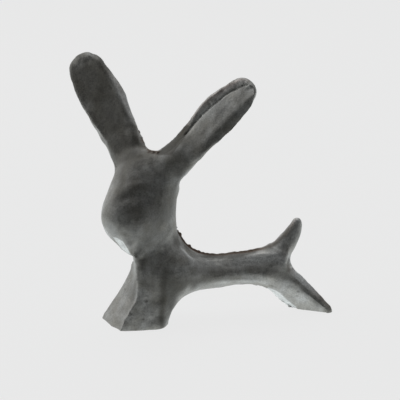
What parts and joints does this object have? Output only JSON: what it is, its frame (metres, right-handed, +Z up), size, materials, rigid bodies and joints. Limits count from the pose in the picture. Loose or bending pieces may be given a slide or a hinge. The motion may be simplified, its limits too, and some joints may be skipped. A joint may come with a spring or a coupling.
{
  "type": "rabbit figurine",
  "caption": "Solid cast iron rabbit ornament with upright ears and its head turned aside, standing on joined forelegs and splayed hind legs.",
  "frame": {"origin": "on the ground, in the middle of the forelegs' flat foot", "axes": "+Z up, +X along the body's middle plane from the forelegs to the tail, -Y the rabbit's left, to which its head is turned"},
  "size_m": [0.0968, 0.0691, 0.102],
  "materials": {
    "iron": "dark grey, semi-gloss, rough-cast with fine grain and mould flash"
  },
  "bodies": {
    "root": {"head": "iron", "left_ear": "iron", "right_ear": "iron", "torso": "iron", "forelegs": "iron", "left_hind_leg": "iron", "right_hind_leg": "iron", "tail": "iron"}
  },
  "joints": []
}
